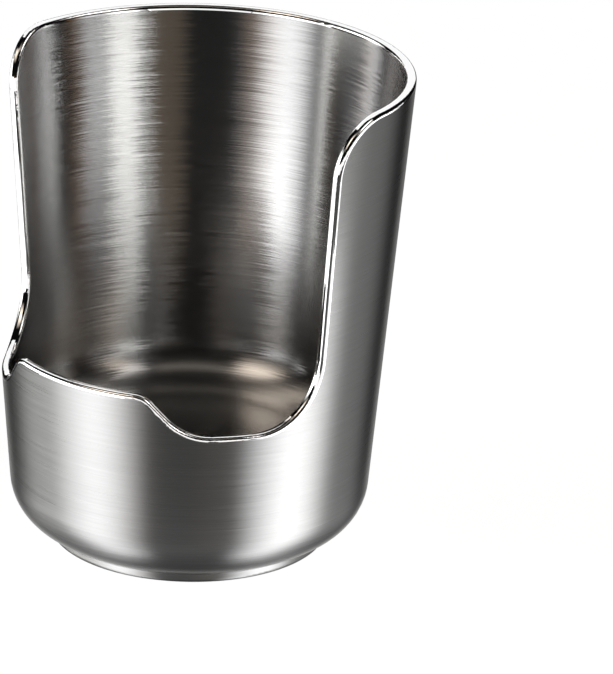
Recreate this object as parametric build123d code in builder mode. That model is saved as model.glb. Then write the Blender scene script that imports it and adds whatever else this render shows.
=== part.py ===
from build123d import *
import os
from math import acos, atan, cos, degrees, pi, radians, sin, sqrt, tan

# Utensil holder: a tapered, double-skinned steel cup with a contoured front
# opening. Millimetres, +Z up, the opening faces -Y, and the origin is the
# centre of the face that stands on the table.

# Cup body
rim_radius = 65.0
table_radius = 53.1
height = 148.0
wall = 3.0
skin = 0.7
knuckle_radius = 16.0
floor_height = 28.5
cove_radius = 15.5

# Front opening, its widths measured round the wall
edge_angle = 78.3
tab_height = 66.0
tab_half_width = 24.4
dip_height = 53.3
tab_slope = 43.3
tab_radius = 7.7
dip_radius = 20.0
cheek_radius = 20.5
shoulder_radius = 17.4

# Rim band
band_height = 1.5
band_round = 1.1
tongue_depth = 4.0
tongue_clearance = 0.05

# Base cap and pad
cap_radius = 42.4
cap_sheet = 0.8
cap_height = 3.1
cap_bevel = 0.25
foot_round = 1.4
foot_width = 7.3
recess_bend = 1.0
pad_thickness = 1.6
pad_proud = 0.4
pad_clearance = 0.7
pad_chamfer = 0.3

# Neck of the outer shell, inside the skirt of the cap
neck_length = 1.8
neck_bend = 0.3
neck_clearance = 0.1
neck_gap = 0.2

# Base weight
weight_radius = 35.0
weight_chamfer = 1.5

# Reach of the radial cutting lines, and the points on each of their curves
cut_start = 0.5 * table_radius
cut_end = 1.25 * rim_radius
curve_steps = 8

taper = atan((rim_radius - table_radius) / height)
trim_margin = 2 * wall
recess_depth = pad_thickness - pad_proud
recess_radius = cap_radius - foot_width - recess_depth
cap_top = pad_proud + cap_height
neck_radius = cap_radius - cap_sheet - neck_clearance
neck_root = cap_top + neck_gap


def outer_radius(z):
    """Radius of the outside of the cup at height z."""
    return table_radius + z * tan(taper)


def knuckle_center():
    """Centre of the bend that joins the neck to the tapered side."""
    offset_to_neck = table_radius - knuckle_radius / cos(taper) - neck_radius
    a = 1 + tan(taper) ** 2
    b = offset_to_neck * tan(taper) - neck_root
    c = offset_to_neck**2 + neck_root**2 - knuckle_radius**2
    z = (sqrt(b**2 - a * c) - b) / a
    return outer_radius(z) - knuckle_radius / cos(taper), z


def radial_point(along, z, side, reach):
    """Point at a given reach on the radial line through the wall at (along, z)."""
    angle = side * (radians(edge_angle) + along / outer_radius(z))
    return Vector(reach * sin(angle), -reach * cos(angle), z)


def opening_outline(inset):
    """Half outline of the opening, unrolled, set inset mm into the wall.

    X runs round the wall from the upright edge, and Y is the height.
    """
    front = -radians(edge_angle) * outer_radius(tab_height - inset)
    back = (pi - radians(edge_angle)) * outer_radius(height - inset)
    slope = radians(tab_slope)
    tab_corner = front + tab_half_width - inset * tan(slope / 2)
    dip_corner = tab_corner + (tab_height - dip_height) / tan(slope)
    with BuildLine() as outline:
        FilletPolyline(
            (front, tab_height - inset),
            (tab_corner, tab_height - inset),
            (dip_corner, dip_height - inset),
            (inset, dip_height - inset),
            (inset, height - inset),
            (back, height - inset),
            radius=[
                tab_radius - inset,
                dip_radius + inset,
                cheek_radius + inset,
                shoulder_radius - inset,
            ],
        )
    return outline.line


def radial_cut(inset):
    """Closed band of radial lines through the outline, right round the cup."""
    steps = [n / curve_steps for n in range(curve_steps + 1)]
    faces = []
    for piece in opening_outline(inset).edges():
        trace = [piece @ step for step in steps]
        for side in (1, -1):
            start, end = (
                Edge.make_spline(
                    [radial_point(p.X, p.Y, side, reach) for p in trace],
                    parameters=steps,
                )
                for reach in (cut_start, cut_end)
            )
            faces.append(Face.make_surface_from_curves(start, end))
    return Shell(faces)


def wall_ring(outset, inset):
    """Tapered ring of the wall, from outset to inset mm inside its outer face."""
    bottom = dip_height - tongue_depth - trim_margin
    top = height + trim_margin
    with BuildPart() as ring:
        with BuildSketch(Plane.XZ):
            with BuildLine():
                Polyline(
                    (outer_radius(bottom) - inset, bottom),
                    (outer_radius(bottom) - outset, bottom),
                    (outer_radius(top) - outset, top),
                    (outer_radius(top) - inset, top),
                    close=True,
                )
            make_face()
        revolve(axis=Axis.Z)
    return ring.part


def lies_on(cut, edge):
    """True for an edge whose middle lies on the cut."""
    return cut.distance_to(edge @ 0.5) < 0.001


rim_cut = radial_cut(0)
seam_cut = radial_cut(band_height)
tongue_cut = radial_cut(band_height + tongue_depth)


# Outer shell: brushed skin with a bent-in neck that the base cap slips over
with BuildPart() as outer_shell:
    with BuildSketch(Plane.XZ):
        with BuildLine():
            center = knuckle_center()
            neck_angle = degrees(acos((neck_radius - center[0]) / knuckle_radius))
            knuckle = CenterArc(
                center, knuckle_radius, -neck_angle, neck_angle - degrees(taper)
            )
            Line((neck_radius, neck_root - neck_length), knuckle @ 0)
            Line(knuckle @ 1, (outer_radius(height + trim_margin), height + trim_margin))
            fillet(vertices().sort_by_distance((neck_radius, neck_root))[0], neck_bend)
            offset(amount=skin, side=Side.LEFT)
        make_face()
    revolve(axis=Axis.Z)
    split(bisect_by=seam_cut, keep=Keep.TOP)

# Inner liner: brushed skin with a flat floor in a wide cove
with BuildPart() as inner_liner:
    with BuildSketch(Plane.XZ):
        with BuildLine():
            FilletPolyline(
                (0, floor_height),
                (outer_radius(floor_height) - wall, floor_height),
                (outer_radius(height + trim_margin) - wall, height + trim_margin),
                radius=cove_radius,
            )
            offset(amount=skin, side=Side.RIGHT)
        make_face()
    revolve(axis=Axis.Z)
    split(bisect_by=seam_cut, keep=Keep.TOP)

# Rim band: polished lip on the edges of both skins, with a tongue between them
with BuildPart() as tongue:
    add(wall_ring(skin + tongue_clearance, wall - skin - tongue_clearance))
    split(bisect_by=seam_cut, keep=Keep.TOP)
    split(bisect_by=tongue_cut, keep=Keep.BOTTOM)

with BuildPart() as rim_band:
    add(wall_ring(0, wall))
    split(bisect_by=rim_cut, keep=Keep.TOP)
    split(bisect_by=seam_cut, keep=Keep.BOTTOM)
    sides = faces().filter_by(GeomType.CONE)
    fillet([edge for edge in sides.edges() if lies_on(rim_cut, edge)], band_round)
    add(tongue.part)

# Base cap: pressed dish, its skirt round the neck and its middle raised
with BuildPart() as base_cap:
    with BuildSketch(Plane.XZ):
        with BuildLine():
            FilletPolyline(
                (0, pad_thickness),
                (recess_radius, pad_thickness),
                (recess_radius + recess_depth, pad_proud),
                (cap_radius, pad_proud),
                (cap_radius, cap_top),
                radius=[recess_bend, recess_bend, foot_round],
            )
            offset(amount=cap_sheet, side=Side.LEFT)
        make_face()
    revolve(axis=Axis.Z)
    skirt_edge = edges().filter_by(GeomType.CIRCLE).sort_by(Axis.Z)[-2:]
    chamfer(skirt_edge.sort_by(SortBy.RADIUS)[-1], cap_bevel)

# Base weight: puck that fills the height between the cap and the liner floor
weight_bottom = pad_thickness + cap_sheet
with BuildPart() as base_weight:
    with BuildSketch(Plane.XY.offset(weight_bottom)):
        Circle(weight_radius)
    extrude(amount=floor_height - skin - weight_bottom)
    chamfer(edges().filter_by(GeomType.CIRCLE), weight_chamfer)

# Base pad: soft disc in the recess of the cap, which stands on the table
with BuildPart() as base_pad:
    with BuildSketch():
        Circle(recess_radius - pad_clearance)
    extrude(amount=pad_thickness)
    chamfer(edges().filter_by(GeomType.CIRCLE).sort_by(Axis.Z)[0], pad_chamfer)

outer_shell.part.label = "outer_shell"
inner_liner.part.label = "inner_liner"
rim_band.part.label = "rim_band"
base_cap.part.label = "base_cap"
base_weight.part.label = "base_weight"
base_pad.part.label = "base_pad"

os.makedirs("parts", exist_ok=True)
export_step(outer_shell.part, "parts/outer_shell.step")
export_step(inner_liner.part, "parts/inner_liner.step")
export_step(rim_band.part, "parts/rim_band.step")
export_step(base_cap.part, "parts/base_cap.step")
export_step(base_weight.part, "parts/base_weight.step")
export_step(base_pad.part, "parts/base_pad.step")
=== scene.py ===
"""Looks of the utensil holder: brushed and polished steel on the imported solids."""

import logging
import math
from dataclasses import dataclass
from enum import Enum

import bmesh
import bpy
from mathutils import Matrix, Vector


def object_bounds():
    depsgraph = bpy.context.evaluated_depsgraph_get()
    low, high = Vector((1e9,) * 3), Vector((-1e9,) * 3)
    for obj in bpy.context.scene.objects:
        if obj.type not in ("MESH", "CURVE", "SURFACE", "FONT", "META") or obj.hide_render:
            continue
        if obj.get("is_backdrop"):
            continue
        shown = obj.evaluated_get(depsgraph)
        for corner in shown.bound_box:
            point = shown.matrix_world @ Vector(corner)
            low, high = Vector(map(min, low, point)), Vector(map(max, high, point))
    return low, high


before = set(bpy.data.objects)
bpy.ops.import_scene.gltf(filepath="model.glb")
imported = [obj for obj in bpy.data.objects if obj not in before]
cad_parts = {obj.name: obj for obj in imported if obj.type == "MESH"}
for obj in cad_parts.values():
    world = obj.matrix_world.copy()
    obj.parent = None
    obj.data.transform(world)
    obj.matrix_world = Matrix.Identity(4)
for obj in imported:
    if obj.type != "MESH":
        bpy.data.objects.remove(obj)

LOG = logging.getLogger("utensil_holder")

Color = tuple[float, float, float]
Material = bpy.types.Material
Node = bpy.types.Node
Socket = bpy.types.NodeSocket

# Level direction from the holder to the camera, in degrees from the holder's front.
# The cards, patches and lamps give their turn from here, to the right as the camera sees it.
VIEW_AZIMUTH = 37.93

# A vector times LEVEL keeps its level part, and times Z_AXIS its upright part
LEVEL = (1.0, 1.0, 0.0)
Z_AXIS = (0.0, 0.0, 1.0)

# A right angle, as the steel's shader counts turns
QUARTER_TURN = 0.25

# Keeps the start of a patch's side step below its end
STEP_MARGIN = 0.0001


def grey(level: float) -> tuple[float, float, float, float]:
    """Return an opaque grey."""
    return (level, level, level, 1.0)


def sine(degrees: float) -> float:
    """Return the sine of an angle in degrees."""
    return math.sin(math.radians(degrees))


def direction(azimuth: float, elevation: float = 0.0) -> Vector:
    """Work out a direction from the holder.

    Args:
        azimuth: Degrees round Z from the front.
        elevation: Degrees above the level.

    Returns:
        The direction, as a vector of length 1.
    """
    turn = math.radians(azimuth)
    rise = math.radians(elevation)
    flat = math.cos(rise)
    return Vector((math.sin(turn) * flat, -math.cos(turn) * flat, math.sin(rise)))


class Finish(Enum):
    """The named finishes of the holder."""

    BRUSHED_OUTSIDE = "steel_brushed_outside"
    BRUSHED_INSIDE = "steel_brushed_inside"
    POLISHED = "steel_polished"
    CAP = "steel_cap"
    CAST_IRON = "iron_cast"
    RUBBER = "rubber_matt"


class Graph:
    """A node tree with short calls for the nodes that the materials share."""

    def __init__(self, tree: bpy.types.NodeTree) -> None:
        """Take over a node tree and empty it.

        Args:
            tree: The tree to fill.
        """
        self.tree = tree
        tree.nodes.clear()

    def feed(self, socket: Socket, value: object) -> None:
        """Link an output socket to an input, or set the input's value.

        Args:
            socket: The input.
            value: An output socket or a plain value.
        """
        if isinstance(value, Socket):
            self.tree.links.new(value, socket)
        else:
            socket.default_value = value

    def node(self, kind: str, **inputs: object) -> Node:
        """Add a node and feed its inputs by name.

        Args:
            kind: The node's type name.
            **inputs: Values or output sockets, by input name with _ for a space.

        Returns:
            The new node.
        """
        made = self.tree.nodes.new(kind)
        for name, value in inputs.items():
            self.feed(made.inputs[name.replace("_", " ")], value)
        return made

    def place(self) -> Socket:
        """Return the place on the piece, in the object's own coordinates."""
        return self.node("ShaderNodeTexCoord").outputs["Object"]

    def operate(self, kind: str, operation: str, values: tuple[object, ...]) -> Node:
        """Add a node that calculates, and feed its inputs in order.

        Args:
            kind: The node's type name.
            operation: The operation's name.
            values: Values or output sockets, in the order of the inputs.

        Returns:
            The new node.
        """
        made = self.tree.nodes.new(kind)
        made.operation = operation
        for socket, value in zip(made.inputs, values):
            self.feed(socket, value)
        return made

    def math(self, operation: str, *values: object) -> Socket:
        """Return the result of an operation on numbers."""
        return self.operate("ShaderNodeMath", operation, values).outputs["Value"]

    def vector(self, operation: str, *values: object) -> Socket:
        """Return the vector that an operation on vectors gives."""
        return self.operate("ShaderNodeVectorMath", operation, values).outputs["Vector"]

    def measure(self, operation: str, *values: object) -> Socket:
        """Return the number that an operation on vectors gives."""
        return self.operate("ShaderNodeVectorMath", operation, values).outputs["Value"]

    def scale(self, value: object, factor: object) -> Socket:
        """Scale a vector.

        Args:
            value: The vector.
            factor: What to scale it by.

        Returns:
            The scaled vector.
        """
        made = self.operate("ShaderNodeVectorMath", "SCALE", (value,))
        self.feed(made.inputs["Scale"], factor)
        return made.outputs["Vector"]

    def ramp(self, factor: Socket, low: float, high: float) -> Socket:
        """Map a factor of 0 to 1 onto low to high.

        Args:
            factor: The factor.
            low: Result at 0.
            high: Result at 1.

        Returns:
            The mapped value.
        """
        made = self.node("ShaderNodeMapRange", Value=factor, To_Min=low, To_Max=high)
        return made.outputs["Result"]

    def share(self, value: Socket, start: float, end: float, smooth: bool = False) -> Socket:
        """Work out how far a value is from start to end.

        Args:
            value: The value.
            start: Where the share is 0.
            end: Where the share is 1.
            smooth: Whether the share eases in and out.

        Returns:
            The share, from 0 to 1.
        """
        made = self.node("ShaderNodeMapRange", Value=value, From_Min=start, From_Max=end)
        if smooth:
            made.interpolation_type = "SMOOTHSTEP"
        return made.outputs["Result"]

    def add_shaders(self, first: Socket, second: Socket) -> Socket:
        """Add one shader to another.

        Args:
            first: A shader.
            second: The other shader.

        Returns:
            The sum of both.
        """
        made = self.node("ShaderNodeAddShader")
        self.feed(made.inputs[0], first)
        self.feed(made.inputs[1], second)
        return made.outputs["Shader"]

    def mix_shaders(self, factor: Socket, first: Socket, second: Socket) -> Socket:
        """Mix two shaders.

        Args:
            factor: The second shader's share.
            first: The shader at a factor of 0.
            second: The shader at a factor of 1.

        Returns:
            The mixed shader.
        """
        made = self.node("ShaderNodeMixShader")
        self.feed(made.inputs[0], factor)
        self.feed(made.inputs[1], first)
        self.feed(made.inputs[2], second)
        return made.outputs["Shader"]

    def see_through(self, glow: Socket) -> Socket:
        """Return a glow that hides nothing behind it."""
        return self.add_shaders(glow, self.node("ShaderNodeBsdfTransparent").outputs["BSDF"])


def new_material(name: str) -> tuple[Material, Graph]:
    """Make an empty node material.

    Args:
        name: The material's name.

    Returns:
        The material and the graph that fills it.
    """
    made = bpy.data.materials.new(name)
    made.use_nodes = True
    return made, Graph(made.node_tree)


@dataclass(frozen=True)
class Streaks:
    """One kind of brush line.

    Attributes:
        lines: Lines per metre, across the brush.
        length: Length of a line, in metres.
        detail: How ragged the lines are.
    """

    lines: float
    length: float
    detail: float


class TurnedSurface:
    """Directions and brush lines on a surface that is turned round the Z axis."""

    def __init__(self, graph: Graph) -> None:
        """Read the place on the piece and its level part.

        Args:
            graph: The graph to add to.
        """
        self.graph = graph
        self.place = graph.place()
        self.level = graph.vector("MULTIPLY", self.place, LEVEL)

    def around(self) -> Socket:
        """Return the direction of the brush lines, level and round the axis."""
        return self.graph.vector("NORMALIZE", self.graph.vector("CROSS_PRODUCT", Z_AXIS, self.place))

    def normal(self) -> Socket:
        """Turn the surface's normal so that it points straight from the axis or to it.

        The mesh's own normals jump at the seam of a turned solid, and these don't.

        Returns:
            The normal, as steep as it was.
        """
        g = self.graph
        radial = g.vector("NORMALIZE", self.level)
        normal = g.node("ShaderNodeNewGeometry").outputs["Normal"]
        upright = g.vector("MULTIPLY", normal, Z_AXIS)
        length = g.measure("LENGTH", g.vector("MULTIPLY", normal, LEVEL))
        side = g.math("SIGN", g.measure("DOT_PRODUCT", normal, radial))
        return g.vector("ADD", g.scale(radial, g.math("MULTIPLY", length, side)), upright)

    def streaks(self, kind: Streaks) -> Socket:
        """Draw noise out along the brush lines.

        Args:
            kind: The kind of line.

        Returns:
            The noise, from 0 to 1.
        """
        g = self.graph
        height = g.node("ShaderNodeSeparateXYZ", Vector=self.place).outputs["Z"]
        radius = g.measure("LENGTH", self.level)
        across = g.math("MULTIPLY", g.math("ADD", height, radius), kind.lines)
        along = g.scale(self.level, 1.0 / kind.length)
        point = g.vector("ADD", along, g.node("ShaderNodeCombineXYZ", Z=across).outputs["Vector"])
        noise = g.node("ShaderNodeTexNoise", Vector=point, Scale=1.0, Detail=kind.detail)
        return noise.outputs["Fac"]


@dataclass(frozen=True)
class BrushedSteel:
    """Steel brushed in fine lines round the cup.

    Attributes:
        finish: The finish that this makes.
        shade_low: Shade of the darkest lines.
        shade_high: Shade of the lightest lines.
        rough_low: Roughness of the smoothest lines.
        rough_high: Roughness of the roughest lines.
        anisotropy: How far the lines draw out what they mirror.
        tilt: How far the fine lines lean the surface to either side.
        fine: The fine lines.
        coarse: The coarse lines under them, which change only the shade.
        fine_share: The fine lines' share of the shade.
    """

    finish: Finish
    shade_low: float = 0.50
    shade_high: float = 0.76
    rough_low: float = 0.24
    rough_high: float = 0.36
    anisotropy: float = 0.80
    tilt: float = 0.02
    fine: Streaks = Streaks(lines=5200.0, length=0.030, detail=1.0)
    coarse: Streaks = Streaks(lines=1400.0, length=0.022, detail=2.0)
    fine_share: float = 0.6

    def material(self) -> Material:
        """Build the material.

        Returns:
            The new material.
        """
        made, g = new_material(self.finish.value)
        turned = TurnedSurface(g)
        around = turned.around()
        fine = turned.streaks(self.fine)
        fine_part = g.math("MULTIPLY", fine, self.fine_share)
        coarse_part = g.math("MULTIPLY", turned.streaks(self.coarse), 1.0 - self.fine_share)
        shade = g.ramp(g.math("ADD", fine_part, coarse_part), self.shade_low, self.shade_high)
        color = g.node("ShaderNodeCombineColor", Red=shade, Green=shade, Blue=shade)
        lean = g.scale(around, g.ramp(fine, -self.tilt, self.tilt))
        shader = g.node(
            "ShaderNodeBsdfPrincipled",
            Base_Color=color.outputs["Color"],
            Metallic=1.0,
            Roughness=g.ramp(fine, self.rough_low, self.rough_high),
            Anisotropic=self.anisotropy,
            Anisotropic_Rotation=QUARTER_TURN,
            Tangent=around,
            Normal=g.vector("NORMALIZE", g.vector("ADD", turned.normal(), lean)),
        )
        g.node("ShaderNodeOutputMaterial", Surface=shader.outputs["BSDF"])
        return made


@dataclass(frozen=True)
class PolishedSteel:
    """Steel polished to a mirror, with faint traces of the wheel.

    Attributes:
        finish: The finish that this makes.
        shade: Shade of the steel.
        rough_low: Roughness between the traces.
        rough_high: Roughness in the traces.
        traces: The traces of the wheel.
    """

    finish: Finish
    shade: float = 0.86
    rough_low: float = 0.02
    rough_high: float = 0.06
    traces: Streaks = Streaks(lines=400.0, length=0.040, detail=2.0)

    def material(self) -> Material:
        """Build the material.

        Returns:
            The new material.
        """
        made, g = new_material(self.finish.value)
        traces = TurnedSurface(g).streaks(self.traces)
        shader = g.node(
            "ShaderNodeBsdfPrincipled",
            Base_Color=grey(self.shade),
            Metallic=1.0,
            Roughness=g.ramp(traces, self.rough_low, self.rough_high),
        )
        g.node("ShaderNodeOutputMaterial", Surface=shader.outputs["BSDF"])
        return made


@dataclass(frozen=True)
class RoughSolid:
    """A rough material with a fine grain: cast iron or rubber.

    Attributes:
        finish: The finish that this makes.
        dark: Colour of the darkest grains.
        light: Colour of the lightest grains.
        roughness: Roughness all over.
        metallic: How metallic it is, from 0 to 1.
        grain: Grains per metre.
        relief: Height of a grain, in metres.
        detail: How ragged the grains are.
        strength: How much of the relief shows.
    """

    finish: Finish
    dark: Color
    light: Color
    roughness: float
    metallic: float
    grain: float
    relief: float
    detail: float = 4.0
    strength: float = 0.6

    def material(self) -> Material:
        """Build the material.

        Returns:
            The new material.
        """
        made, g = new_material(self.finish.value)
        noise = g.node("ShaderNodeTexNoise", Vector=g.place(), Scale=self.grain, Detail=self.detail)
        grain = noise.outputs["Fac"]
        mix = g.node("ShaderNodeMix", Factor=grain)
        mix.data_type = "RGBA"
        # The node has its colour sockets after those for numbers and vectors
        g.feed(mix.inputs[6], (*self.dark, 1.0))
        g.feed(mix.inputs[7], (*self.light, 1.0))
        bump = g.node("ShaderNodeBump", Strength=self.strength, Distance=self.relief, Height=grain)
        shader = g.node(
            "ShaderNodeBsdfPrincipled",
            Base_Color=mix.outputs[2],
            Metallic=self.metallic,
            Roughness=self.roughness,
            Normal=bump.outputs["Normal"],
        )
        g.node("ShaderNodeOutputMaterial", Surface=shader.outputs["BSDF"])
        return made


FINISHES = (
    BrushedSteel(Finish.BRUSHED_OUTSIDE),
    BrushedSteel(
        Finish.BRUSHED_INSIDE,
        shade_high=0.72,
        rough_low=0.16,
        rough_high=0.24,
        anisotropy=0.94,
        tilt=0.08,
    ),
    PolishedSteel(Finish.POLISHED),
    BrushedSteel(Finish.CAP, tilt=0.04),
    RoughSolid(
        Finish.CAST_IRON,
        dark=(0.05, 0.05, 0.055),
        light=(0.11, 0.11, 0.12),
        roughness=0.75,
        metallic=0.6,
        grain=900.0,
        relief=0.0003,
    ),
    RoughSolid(
        Finish.RUBBER,
        dark=(0.02, 0.02, 0.02),
        light=(0.04, 0.04, 0.042),
        roughness=0.85,
        metallic=0.0,
        grain=1400.0,
        relief=0.0001,
    ),
)


@dataclass
class DressedSolids:
    """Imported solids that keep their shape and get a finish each.

    Attributes:
        finishes: The materials, by finish.
    """

    finishes: dict[Finish, Material]

    def dress(self, node: str, finish: Finish) -> None:
        """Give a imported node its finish.

        Args:
            node: The node's name.
            finish: The finish to give it.
        """
        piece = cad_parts[node]
        piece.data.materials.clear()
        piece.data.materials.append(self.finishes[finish])
        LOG.info("dressed %s in %s", node, finish.value)


class Wall(DressedSolids):
    """The double wall of the cup: both skins and the lip that closes them."""

    def build(self) -> None:
        """Dress both skins and the lip."""
        self.dress("outer_shell", Finish.BRUSHED_OUTSIDE)
        self.dress("inner_liner", Finish.BRUSHED_INSIDE)
        self.dress("rim_band", Finish.POLISHED)


class Base(DressedSolids):
    """The base of the cup: its cap, the weight above it and the pad under it."""

    def build(self) -> None:
        """Dress the cap, the weight and the pad."""
        self.dress("base_cap", Finish.CAP)
        self.dress("base_weight", Finish.CAST_IRON)
        self.dress("base_pad", Finish.RUBBER)


@dataclass(frozen=True)
class Camera:
    """The camera at the photograph's viewing angle.

    Attributes:
        azimuth: Level direction from the holder, in degrees from its front.
        elevation: Degrees above the level.
        roll: Degrees that the camera is turned round its line of sight.
        distance: Metres from the point that it is aimed at.
        lens: Focal length, in millimetres.
        sensor: Length of the sensor along the frame's longer side, in millimetres.
        clip_end: How far the camera sees, in metres.
        frame_width: Width of the frame, in pixels.
        frame_height: Height of the frame, its longer side, in pixels.
        aim_pixel: Where in the frame the aimed point lands, from its upper left corner.
    """

    azimuth: float = VIEW_AZIMUTH
    elevation: float = 20.95
    roll: float = 1.19
    distance: float = 1.600
    lens: float = 283.8
    sensor: float = 36.0
    clip_end: float = 50.0
    frame_width: float = 613.0
    frame_height: float = 674.0
    aim_pixel: tuple[float, float] = (192.9, 302.55)

    def build(self, aim: Vector) -> None:
        """Make the scene's camera.

        Args:
            aim: The point that lands on the aim pixel.
        """
        data = bpy.data.cameras.new("camera")
        data.lens = self.lens
        data.sensor_width = self.sensor
        data.clip_end = self.clip_end
        camera = bpy.data.objects.new("camera", data)
        bpy.context.scene.collection.objects.link(camera)
        back = direction(self.azimuth, self.elevation)
        level = (-back).to_track_quat("-Z", "Y").to_matrix()
        rolled = level @ Matrix.Rotation(math.radians(self.roll), 3, "Z")
        # Turns the camera until the aimed point lands on the aim pixel, not in the middle
        seen = Vector((
            self.aim_pixel[0] - self.frame_width / 2,
            self.frame_height / 2 - self.aim_pixel[1],
            -self.lens / self.sensor * self.frame_height,
        ))
        turn = Vector((0.0, 0.0, -1.0)).rotation_difference(seen).to_matrix()
        place = (rolled @ turn.transposed()).to_4x4()
        place.translation = aim + back * self.distance
        camera.matrix_world = place
        bpy.context.scene.camera = camera
        LOG.info("camera set")


def studio_object(name: str, shape: bmesh.types.BMesh, material: Material) -> bpy.types.Object:
    """Make a shape an object of the studio.

    Args:
        name: The object's name.
        shape: The shape, which this call frees.
        material: What the object is made of.

    Returns:
        The new object.
    """
    mesh = bpy.data.meshes.new(name)
    shape.to_mesh(mesh)
    shape.free()
    mesh.materials.append(material)
    made = bpy.data.objects.new(name, mesh)
    bpy.context.scene.collection.objects.link(made)
    return made


def show_in_steel_only(glow: bpy.types.Object) -> None:
    """Show a glow only where the steel mirrors it.

    Args:
        glow: The glowing object.
    """
    glow.visible_camera = False
    glow.visible_diffuse = False
    glow.visible_shadow = False


@dataclass(frozen=True)
class Patch:
    """A soft-edged part of the surroundings that the steel mirrors.

    Attributes:
        turn: Degrees round Z from the camera's side.
        half_angle: Degrees from its middle to either side.
        low: Elevation of its lower edge, in degrees.
        high: Elevation of its upper edge, in degrees.
        color: Its colour, where 1 is white.
        soft: Degrees that each edge fades over, on both sides of its line.
    """

    turn: float
    half_angle: float
    low: float
    high: float
    color: Color
    soft: float

    def light(self, g: Graph, flat: Socket, rise: Socket) -> Socket:
        """Add the patch's light in a direction.

        Args:
            g: The graph to add to.
            flat: The direction, made level.
            rise: The sine of the direction's elevation.

        Returns:
            The colour, black outside the patch.
        """
        near = g.measure("DOT_PRODUCT", flat, direction(VIEW_AZIMUTH + self.turn))
        outer = math.cos(math.radians(self.half_angle + self.soft)) - STEP_MARGIN
        inner = math.cos(math.radians(max(self.half_angle - self.soft, 0.0)))
        beside = g.share(near, outer, inner, smooth=True)
        above = g.share(rise, sine(self.low - self.soft), sine(self.low + self.soft), smooth=True)
        past = g.share(rise, sine(self.high - self.soft), sine(self.high + self.soft), smooth=True)
        upright = g.math("MULTIPLY", above, g.math("SUBTRACT", 1.0, past))
        return g.scale(self.color, g.math("MULTIPLY", beside, upright))


@dataclass(frozen=True)
class Surroundings:
    """The surroundings: white to the camera, and dark with soft patches to the steel.

    Attributes:
        patches: What the steel mirrors.
        dark: The colour between the patches.
    """

    patches: tuple[Patch, ...]
    dark: Color = (0.003, 0.003, 0.003)

    def build(self) -> None:
        """Make the world."""
        world = bpy.data.worlds.new("studio")
        bpy.context.scene.world = world
        world.use_nodes = True
        g = Graph(world.node_tree)
        toward = g.node("ShaderNodeTexCoord").outputs["Generated"]
        rise = g.node("ShaderNodeSeparateXYZ", Vector=toward).outputs["Z"]
        flat = g.vector("NORMALIZE", g.vector("MULTIPLY", toward, LEVEL))
        total: Color | Socket = self.dark
        for patch in self.patches:
            total = g.vector("ADD", total, patch.light(g, flat, rise))
        mirrored = g.node("ShaderNodeBackground", Color=total, Strength=1.0)
        white = g.node("ShaderNodeBackground", Color=grey(1.0), Strength=1.0)
        to_camera = g.node("ShaderNodeLightPath").outputs["Is Camera Ray"]
        both = g.mix_shaders(to_camera, mirrored.outputs["Background"], white.outputs["Background"])
        g.node("ShaderNodeOutputWorld", Surface=both)
        LOG.info("surroundings set")


@dataclass(frozen=True)
class Floor:
    """The pale floor, which keeps a faint shadow and which the steel doesn't mirror.

    Attributes:
        size: Length of its sides, in metres.
        shade: Shade of the part that takes the shadow.
        glow: The glow that brings that part up to white.
        fade_start: Metres from the axis where the shadow starts to fade.
        fade_end: Metres from the axis where the floor is plain white.
    """

    size: float = 3.0
    shade: float = 0.30
    glow: float = 0.95
    fade_start: float = 0.10
    fade_end: float = 0.45

    def material(self) -> Material:
        """Build the floor's white.

        Returns:
            The new material.
        """
        made, g = new_material("floor_white")
        matt = g.node("ShaderNodeBsdfDiffuse", Color=grey(self.shade)).outputs["BSDF"]
        glow = g.node("ShaderNodeEmission", Color=grey(1.0), Strength=self.glow).outputs["Emission"]
        white = g.node("ShaderNodeEmission", Color=grey(1.0), Strength=1.0).outputs["Emission"]
        fade = g.share(g.measure("LENGTH", g.place()), self.fade_start, self.fade_end)
        both = g.mix_shaders(fade, g.add_shaders(matt, glow), white)
        g.node("ShaderNodeOutputMaterial", Surface=both)
        return made

    def build(self) -> None:
        """Lay the floor."""
        shape = bmesh.new()
        bmesh.ops.create_grid(shape, x_segments=1, y_segments=1, size=self.size / 2)
        floor = studio_object("floor", shape, self.material())
        floor.visible_glossy = False
        floor.visible_shadow = False
        floor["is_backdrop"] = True
        LOG.info("floor set")


@dataclass(frozen=True)
class FloorGlow:
    """A faint glow on the floor round the base, which only the steel mirrors.

    Attributes:
        radius: Radius of its disc, in metres.
        segments: Sides of its disc.
        levels: Distances from the axis, in metres, and the glow's level at each.
    """

    radius: float = 1.5
    segments: int = 96
    levels: tuple[tuple[float, float], ...] = (
        (0.040, 0.04),
        (0.064, 0.08),
        (0.080, 0.06),
        (0.096, 0.03),
        (0.140, 0.015),
        (0.440, 0.0),
    )

    def material(self) -> Material:
        """Build the glow.

        Returns:
            The new material.
        """
        made, g = new_material("floor_glow")
        start = self.levels[0][0]
        end = self.levels[-1][0]
        ramp = g.node("ShaderNodeValToRGB", Fac=g.share(g.measure("LENGTH", g.place()), start, end))
        stops = ramp.color_ramp.elements
        for distance, _ in self.levels[1:-1]:
            stops.new((distance - start) / (end - start))
        for stop, (_, level) in zip(stops, self.levels):
            stop.color = grey(level)
        glow = g.node("ShaderNodeEmission", Color=ramp.outputs["Color"], Strength=1.0)
        g.node("ShaderNodeOutputMaterial", Surface=g.see_through(glow.outputs["Emission"]))
        return made

    def build(self) -> None:
        """Lay the glow on the floor."""
        shape = bmesh.new()
        bmesh.ops.create_circle(shape, cap_ends=True, segments=self.segments, radius=self.radius)
        glow = studio_object("floor_glow", shape, self.material())
        show_in_steel_only(glow)
        glow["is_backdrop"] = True
        LOG.info("floor glow set")


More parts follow.
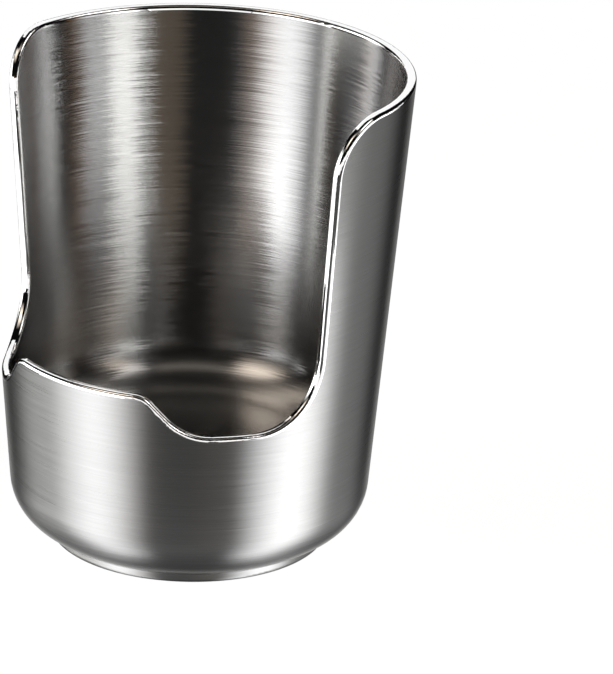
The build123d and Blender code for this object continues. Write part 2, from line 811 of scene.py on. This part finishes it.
@dataclass(frozen=True)
class LipLamp:
    """A soft lamp that lights the lip alone.

    Attributes:
        turn: Degrees round Z from the camera's side.
        low: Elevation of its lower edge, in degrees.
        high: Elevation of its upper edge, in degrees.
        width: Its width, in metres.
        level: How brightly its face glows, where 1 is white.
        distance: Metres from the middle of the holder's foot.
    """

    turn: float
    low: float
    high: float
    width: float = 1.15
    level: float = 1.1
    distance: float = 1.0

    def build(self, lit: bpy.types.Collection) -> None:
        """Hang the lamp, turned to the holder.

        Args:
            lit: The collection of what it lights.
        """
        azimuth = VIEW_AZIMUTH + self.turn
        name = f"lip_lamp_{azimuth:.0f}"
        data = bpy.data.lights.new(name, "AREA")
        data.shape = "RECTANGLE"
        data.size = self.width
        data.size_y = 2.0 * self.distance * math.tan(math.radians(self.high - self.low) / 2)
        # The power at which the lamp's whole face glows at its level
        data.energy = self.level * math.pi * data.size * data.size_y
        lamp = bpy.data.objects.new(name, data)
        bpy.context.scene.collection.objects.link(lamp)
        out = direction(azimuth, (self.high + self.low) / 2)
        place = out.to_track_quat("Z", "Y").to_matrix().to_4x4()
        place.translation = out * self.distance
        lamp.matrix_world = place
        lamp.visible_camera = False
        lamp.light_linking.receiver_collection = lit
        LOG.info("lamp %s", name)


@dataclass(frozen=True)
class Card:
    """An upright glowing card that the steel mirrors, bright in its middle, dark at its sides.

    Attributes:
        name: The card's name.
        turn: Degrees round Z from the camera's side.
        distance: Metres from the axis.
        half_width: Half its width, in metres.
        bottom: Height of its lower edge, in metres.
        top: Height of its upper edge, in metres.
        level: How brightly its middle glows, where 1 is white.
    """

    name: str
    turn: float
    distance: float
    half_width: float
    bottom: float
    top: float
    level: float

    def material(self) -> Material:
        """Build the card's glow, which fades towards its sides and leaves its back dark.

        Returns:
            The new material.
        """
        made, g = new_material(self.name)
        across = g.node("ShaderNodeSeparateXYZ", Vector=g.place()).outputs["X"]
        share = g.math("DIVIDE", across, self.half_width)
        bell = g.math("SUBTRACT", 1.0, g.math("MULTIPLY", share, share))
        bell = g.math("MULTIPLY", bell, bell)
        front = g.math("SUBTRACT", 1.0, g.node("ShaderNodeNewGeometry").outputs["Backfacing"])
        level = g.math("MULTIPLY", g.math("MULTIPLY", bell, front), self.level)
        glow = g.node("ShaderNodeEmission", Strength=level)
        g.node("ShaderNodeOutputMaterial", Surface=g.see_through(glow.outputs["Emission"]))
        return made

    def build(self) -> None:
        """Stand the card up, turned to the holder's axis."""
        shape = bmesh.new()
        bmesh.ops.create_grid(shape, x_segments=1, y_segments=1, size=1.0)
        half_height = (self.top - self.bottom) / 2
        bmesh.ops.scale(shape, vec=(self.half_width, half_height, 1.0), verts=shape.verts)
        card = studio_object(self.name, shape, self.material())
        out = direction(VIEW_AZIMUTH + self.turn)
        place = (-out).to_track_quat("Z", "Y").to_matrix().to_4x4()
        place.translation = out * self.distance + Vector((0.0, 0.0, (self.top + self.bottom) / 2))
        card.matrix_world = place
        show_in_steel_only(card)
        card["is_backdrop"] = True
        LOG.info("card %s", self.name)


# Level with the holder: a bright patch on the left, and a faint warm one either side of the camera
LEVEL_PATCHES = (
    Patch(turn=-97.0, half_angle=15.0, low=-9.0, high=16.0, color=(4.8, 4.8, 4.65), soft=13.0),
    Patch(turn=-36.0, half_angle=8.0, low=-5.0, high=8.0, color=(0.42, 0.24, 0.13), soft=6.0),
    Patch(turn=20.0, half_angle=9.0, low=-16.0, high=8.0, color=(0.16, 0.125, 0.09), soft=9.0),
)

# Below the holder: faint light from all sides, as from a table, strongest behind it
LOW_PATCHES = (
    Patch(turn=0.0, half_angle=50.0, low=-50.0, high=-22.0, color=(0.09, 0.09, 0.088), soft=20.0),
    Patch(turn=80.0, half_angle=15.0, low=-50.0, high=-22.0, color=(0.40, 0.40, 0.39), soft=15.0),
    Patch(turn=101.0, half_angle=24.0, low=-38.0, high=-16.0, color=(0.36, 0.36, 0.355), soft=20.0),
    Patch(turn=-100.0, half_angle=30.0, low=-50.0, high=-22.0, color=(0.14, 0.14, 0.137), soft=20.0),
    Patch(turn=180.0, half_angle=14.0, low=-50.0, high=-22.0, color=(0.9, 0.9, 0.88), soft=14.0),
)

# Above the holder: a bright patch to either side, and a faint one over the camera
HIGH_PATCHES = (
    Patch(turn=-62.0, half_angle=14.0, low=40.0, high=64.0, color=(1.8, 1.55, 1.3), soft=12.0),
    Patch(turn=66.0, half_angle=14.0, low=34.0, high=56.0, color=(3.2, 3.05, 2.9), soft=14.0),
    Patch(turn=0.0, half_angle=40.0, low=57.0, high=67.0, color=(0.36, 0.33, 0.29), soft=5.0),
)

# One lamp behind and above, five in a ring near the level, and two low ones at the sides
LIP_LAMPS = (
    LipLamp(turn=180.0, low=8.0, high=70.0, width=1.1),
    LipLamp(turn=0.0, low=-8.0, high=16.0),
    LipLamp(turn=60.0, low=-8.0, high=14.0),
    LipLamp(turn=-60.0, low=-8.0, high=14.0),
    LipLamp(turn=112.0, low=-20.0, high=0.0, width=0.7),
    LipLamp(turn=-112.0, low=-20.0, high=0.0, width=0.7),
    LipLamp(turn=-72.0, low=-31.0, high=-12.0, width=1.1),
    LipLamp(turn=100.0, low=-31.0, high=-12.0, width=0.9),
)

# Two cards close by for the outside, and one farther off, on the left, for the inside
CARDS = (
    Card("card_left", -52.0, distance=0.15, half_width=0.092, bottom=-0.25, top=0.06, level=1.35),
    Card("card_right", 54.5, distance=0.15, half_width=0.092, bottom=-0.25, top=0.06, level=1.55),
    Card("card_liner", -55.0, distance=0.5, half_width=0.225, bottom=-0.07, top=0.18, level=1.8),
)


@dataclass(frozen=True)
class Studio:
    """The surroundings, the floor, the lamps and the cards round the holder.

    Attributes:
        surroundings: The world round it all.
        floor: The pale floor.
        floor_glow: The glow on the floor.
        lip_lamps: The lamps for the lip.
        cards: The glowing cards.
    """

    surroundings: Surroundings
    floor: Floor
    floor_glow: FloorGlow
    lip_lamps: tuple[LipLamp, ...]
    cards: tuple[Card, ...]

    def hang_lip_lamps(self) -> None:
        """Hang the lamps that light the lip alone."""
        lit = bpy.data.collections.new("lip")
        lit.objects.link(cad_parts["rim_band"])
        for lamp in self.lip_lamps:
            lamp.build(lit)

    def build(self) -> None:
        """Build the studio and set how it is shown."""
        self.surroundings.build()
        self.floor.build()
        self.floor_glow.build()
        self.hang_lip_lamps()
        for card in self.cards:
            card.build()
        bpy.context.scene.view_settings.view_transform = "Standard"


def main() -> None:
    """Build the looks."""
    logging.basicConfig(level=logging.INFO, format="%(message)s")
    cad_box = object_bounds()
    finishes = {maker.finish: maker.material() for maker in FINISHES}
    Wall(finishes).build()
    Base(finishes).build()
    Camera().build(Vector((0.0, 0.0, cad_box[1].z / 2)))
    surroundings = Surroundings(LEVEL_PATCHES + LOW_PATCHES + HIGH_PATCHES)
    Studio(surroundings, Floor(), FloorGlow(), LIP_LAMPS, CARDS).build()


if __name__ == "__main__":
    main()
